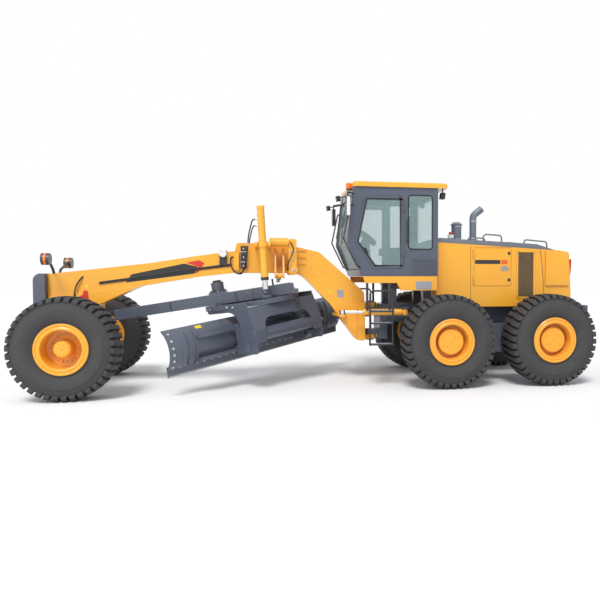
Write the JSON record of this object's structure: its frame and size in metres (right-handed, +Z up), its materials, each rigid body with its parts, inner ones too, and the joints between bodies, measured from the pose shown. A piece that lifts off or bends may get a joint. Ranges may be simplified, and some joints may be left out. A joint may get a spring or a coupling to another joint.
{
  "type": "motor grader",
  "caption": "Six-wheeled road grading machine with an arched front beam, a cab, a rear engine and a curved blade hung on a turning circle under the beam.",
  "frame": {"origin": "middle of the machine's box, on the ground", "axes": "+X forward, +Y to the operator's left, +Z up"},
  "size_m": [9.8698, 3.08, 3.55],
  "materials": {
    "yellow": "gloss",
    "slate": "satin",
    "tyre": "matt",
    "chrome": "polished",
    "glass": "clear",
    "black": "satin",
    "grey": "satin",
    "hose": "matt",
    "trim": "matt",
    "iron": "cast"
  },
  "bodies": {
    "rear": {"rear_frame": "slate", "tandem_drive": "slate", "engine": "iron", "hood": "yellow", "hood_top": "grey", "stacks": "grey", "cab_frame": "slate", "cab_roof": "yellow", "cab_glass": "glass", "cab_skirt": "yellow", "cab_interior": "trim", "steps_and_rails": "black", "mirrors_and_lamps": "black"},
    "door_left": {"door_left": "slate", "door_left_glass": "glass"},
    "door_right": {"door_right": "slate", "door_right_glass": "glass"},
    "service_door_left": {"service_door_left": "yellow"},
    "service_door_right": {"service_door_right": "yellow"},
    "front": {"front_frame": "yellow", "front_block": "slate", "saddle": "yellow", "front_lamps": "yellow", "hoses": "hose", "front_axle": "slate"},
    "lean_left": {"lean_left": "slate"},
    "lean_right": {"lean_right": "slate"},
    "lean_bar": {"lean_bar": "slate"},
    "knuckle_left": {"knuckle_left": "slate"},
    "knuckle_right": {"knuckle_right": "slate"},
    "tie_rod_end": {"tie_rod_end": "slate"},
    "tie_rod": {"tie_rod": "slate"},
    "lift_barrel_left": {"lift_barrel_left": "yellow"},
    "lift_rod_left": {"lift_rod_left": "chrome"},
    "lift_barrel_right": {"lift_barrel_right": "yellow"},
    "lift_rod_right": {"lift_rod_right": "chrome"},
    "shift_barrel": {"shift_barrel": "yellow"},
    "shift_rod": {"shift_rod": "chrome"},
    "artic_barrel_left": {"artic_barrel_left": "yellow"},
    "artic_rod_left": {"artic_rod_left": "chrome"},
    "artic_barrel_right": {"artic_barrel_right": "yellow"},
    "artic_rod_right": {"artic_rod_right": "chrome"},
    "drawbar_ball": {"drawbar_ball": "grey"},
    "drawbar": {"drawbar": "slate"},
    "circle": {"circle": "slate"},
    "blade_carrier": {"blade_carrier": "slate"},
    "moldboard": {"moldboard": "slate", "side_shift_rod": "chrome"},
    "wheel_front_left": {"tyre_front_left": "tyre", "rim_front_left": "yellow"},
    "wheel_front_right": {"tyre_front_right": "tyre", "rim_front_right": "yellow"},
    "wheel_middle_left": {"tyre_middle_left": "tyre", "rim_middle_left": "yellow"},
    "wheel_middle_right": {"tyre_middle_right": "tyre", "rim_middle_right": "yellow"},
    "wheel_rear_left": {"tyre_rear_left": "tyre", "rim_rear_left": "yellow"},
    "wheel_rear_right": {"tyre_rear_right": "tyre", "rim_rear_right": "yellow"}
  },
  "joints": [
    {"name": "articulation", "type": "hinge", "parent": "rear", "child": "front", "pos_m": [-0.83, 0, 1.085], "axis": [0, 0, -1], "range_deg": [-25, 25]},
    {"name": "wheel_lean", "type": "hinge", "parent": "front", "child": "lean_left", "pos_m": [4.135, 0.85, 0.8], "axis": [1, 0, 0], "range_deg": [-17, 17]},
    {"name": "steering", "type": "hinge", "parent": "lean_left", "child": "knuckle_left", "pos_m": [4.135, 0.85, 0.8], "axis": [0, 0, 1], "range_deg": [-45, 45]},
    {"name": "wheel_lean_right", "type": "hinge", "parent": "front", "child": "lean_right", "pos_m": [4.135, -0.85, 0.8], "axis": [1, 0, 0], "range_deg": [-17, 17]},
    {"name": "steering_right", "type": "hinge", "parent": "lean_right", "child": "knuckle_right", "pos_m": [4.135, -0.85, 0.8], "axis": [0, 0, 1], "range_deg": [-45, 45]},
    {"name": "lean_bar_pin", "type": "hinge", "parent": "lean_left", "child": "lean_bar", "pos_m": [4.285, 0.85, 1.06], "axis": [1, 0, 0], "range_deg": [-17, 17]},
    {"name": "tie_rod_ball", "type": "hinge", "parent": "knuckle_left", "child": "tie_rod_end", "pos_m": [4.405, 0.85, 0.651], "axis": [0, 0, 1], "range_deg": [-45, 45]},
    {"name": "tie_rod_level", "type": "hinge", "parent": "tie_rod_end", "child": "tie_rod", "pos_m": [4.405, 0.85, 0.651], "axis": [1, 0, 0], "range_deg": [-17, 17]},
    {"name": "roll_front_left", "type": "hinge", "parent": "knuckle_left", "child": "wheel_front_left", "pos_m": [4.135, 1.24, 0.8], "axis": [0, 1, 0], "continuous": true},
    {"name": "roll_front_right", "type": "hinge", "parent": "knuckle_right", "child": "wheel_front_right", "pos_m": [4.135, -1.24, 0.8], "axis": [0, 1, 0], "continuous": true},
    {"name": "roll_middle_left", "type": "hinge", "parent": "rear", "child": "wheel_middle_left", "pos_m": [-1.965, 1.24, 0.8], "axis": [0, 1, 0], "continuous": true},
    {"name": "roll_middle_right", "type": "hinge", "parent": "rear", "child": "wheel_middle_right", "pos_m": [-1.965, -1.24, 0.8], "axis": [0, 1, 0], "continuous": true},
    {"name": "roll_rear_left", "type": "hinge", "parent": "rear", "child": "wheel_rear_left", "pos_m": [-3.815, 1.24, 0.8], "axis": [0, 1, 0], "continuous": true},
    {"name": "roll_rear_right", "type": "hinge", "parent": "rear", "child": "wheel_rear_right", "pos_m": [-3.815, -1.24, 0.8], "axis": [0, 1, 0], "continuous": true},
    {"name": "drawbar_lift", "type": "hinge", "parent": "front", "child": "drawbar_ball", "pos_m": [3.83, 0, 1.205], "axis": [0, 1, 0], "range_deg": [-19, 1.5]},
    {"name": "drawbar_shift", "type": "hinge", "parent": "drawbar_ball", "child": "drawbar", "pos_m": [3.83, 0, 1.205], "axis": [-0.153, 0, -0.9882], "range_deg": [-5, 5]},
    {"name": "circle_turn", "type": "hinge", "parent": "drawbar", "child": "circle", "pos_m": [1.33425, 0, 1.49017], "axis": [0.153, 0, 0.9882], "range_deg": [0, 96]},
    {"name": "blade_tilt", "type": "hinge", "parent": "circle", "child": "blade_carrier", "pos_m": [0.82276, 0.44589, 0.81042], "axis": [0.7344, 0.6691, -0.1137], "range_deg": [-5, 40]},
    {"name": "blade_side_shift", "type": "slide", "parent": "blade_carrier", "child": "moldboard", "axis": [-0.7344, -0.6691, 0.1137], "range_m": [-0.5, 0.5]},
    {"name": "door_left_hinge", "type": "hinge", "parent": "rear", "child": "door_left", "pos_m": [-1.301, 0.819, 2.7], "axis": [0, 0, 1], "range_deg": [0, 85]},
    {"name": "door_right_hinge", "type": "hinge", "parent": "rear", "child": "door_right", "pos_m": [-1.301, -0.819, 2.7], "axis": [0, 0, -1], "range_deg": [0, 85]},
    {"name": "service_door_left_hinge", "type": "hinge", "parent": "rear", "child": "service_door_left", "pos_m": [-2.638, 0.639, 2.083], "axis": [0, 0, -1], "range_deg": [0, 90]},
    {"name": "service_door_right_hinge", "type": "hinge", "parent": "rear", "child": "service_door_right", "pos_m": [-2.638, -0.639, 2.083], "axis": [0, 0, 1], "range_deg": [0, 90]},
    {"name": "lift_swing_left", "type": "hinge", "parent": "front", "child": "lift_barrel_left", "pos_m": [1.14858, 0.65, 2.45], "axis": [1, 0, 0], "range_deg": [-12.1, 12.1]},
    {"name": "lift_stroke_left", "type": "slide", "parent": "lift_barrel_left", "child": "lift_rod_left", "axis": [-0.0559, 0, -0.9984], "range_m": [-0.074, 0.9144]},
    {"name": "artic_swing_left", "type": "hinge", "parent": "rear", "child": "artic_barrel_left", "pos_m": [-1.365, 0.6, 1.265], "axis": [0, 0, -1], "range_deg": [-11.4, 11.4]},
    {"name": "artic_stroke_left", "type": "slide", "parent": "artic_barrel_left", "child": "artic_rod_left", "axis": [0.9911, -0.1334, 0], "range_m": [-0.23, 0.23]},
    {"name": "lift_swing_right", "type": "hinge", "parent": "front", "child": "lift_barrel_right", "pos_m": [1.14858, -0.65, 2.45], "axis": [1, 0, 0], "range_deg": [-12.1, 12.1]},
    {"name": "lift_stroke_right", "type": "slide", "parent": "lift_barrel_right", "child": "lift_rod_right", "axis": [-0.0559, 0, -0.9984], "range_m": [-0.074, 0.9144]},
    {"name": "artic_swing_right", "type": "hinge", "parent": "rear", "child": "artic_barrel_right", "pos_m": [-1.365, -0.6, 1.265], "axis": [0, 0, -1], "range_deg": [-11.4, 11.4]},
    {"name": "artic_stroke_right", "type": "slide", "parent": "artic_barrel_right", "child": "artic_rod_right", "axis": [0.9911, 0.1334, 0], "range_m": [-0.23, 0.23]},
    {"name": "shift_swing", "type": "hinge", "parent": "front", "child": "shift_barrel", "pos_m": [0.86, 0.45, 1.914], "axis": [1, 0, 0], "range_deg": [-4.3, 53.3]},
    {"name": "shift_stroke", "type": "slide", "parent": "shift_barrel", "child": "shift_rod", "axis": [0, -0.9965, -0.0839], "range_m": [-0.237, 0.237]}
  ],
  "couplings": [
    {"joint": "wheel_lean_right", "follows": "wheel_lean", "ratio": 1},
    {"joint": "steering_right", "follows": "steering", "ratio": 1},
    {"joint": "lean_bar_pin", "follows": "wheel_lean", "ratio": -1},
    {"joint": "tie_rod_ball", "follows": "steering", "ratio": -1},
    {"joint": "tie_rod_level", "follows": "wheel_lean", "ratio": -1},
    {"joint": "lift_swing_left", "follows": "drawbar_shift", "ratio": 2.4},
    {"joint": "lift_stroke_left", "follows": "drawbar_lift", "m_per_rad": -2.7515},
    {"joint": "artic_swing_left", "follows": "articulation", "ratio": 0.449},
    {"joint": "artic_stroke_left", "follows": "articulation", "m_per_rad": 0.52254},
    {"joint": "lift_swing_right", "follows": "drawbar_shift", "ratio": 2.4},
    {"joint": "lift_stroke_right", "follows": "drawbar_lift", "m_per_rad": -2.7515},
    {"joint": "artic_swing_right", "follows": "articulation", "ratio": 0.449},
    {"joint": "artic_stroke_right", "follows": "articulation", "m_per_rad": -0.52254},
    {"joint": "shift_swing", "follows": "drawbar_lift", "ratio": -2.8},
    {"joint": "shift_stroke", "follows": "drawbar_shift", "m_per_rad": -2.6929}
  ]
}
